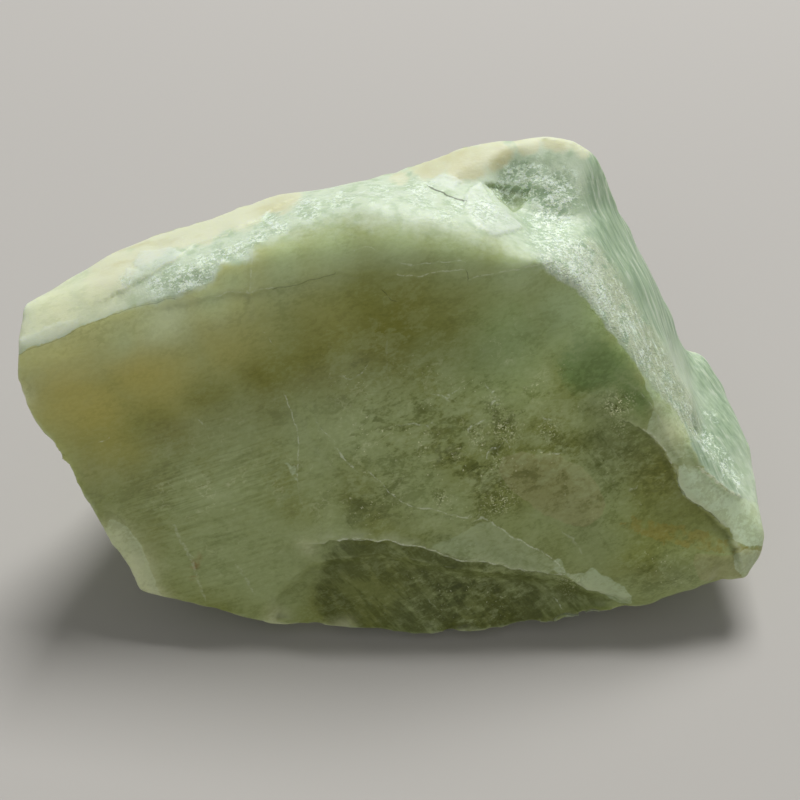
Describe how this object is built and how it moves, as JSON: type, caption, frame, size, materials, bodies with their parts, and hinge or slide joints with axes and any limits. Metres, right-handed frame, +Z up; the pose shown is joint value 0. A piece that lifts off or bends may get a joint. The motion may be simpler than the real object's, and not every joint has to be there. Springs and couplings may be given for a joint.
{
  "type": "rough aquamarine",
  "caption": "Rough broken chunk of cloudy green beryl with one broad leaning face, resting on a flat underside.",
  "frame": {"origin": "middle of the chunk's box, on the flat underside that it rests on", "axes": "+X along the chunk's length towards the low shoulder, +Y to the back, away from the broad leaning face, +Z up"},
  "size_m": [0.0596, 0.031, 0.0322],
  "materials": {
    "cloudy_beryl": "cloudy, slightly waxy to glassy beryl with frosted breaks and a cream skin on the crest"
  },
  "bodies": {
    "root": {"aquamarine": "cloudy_beryl"}
  },
  "joints": []
}
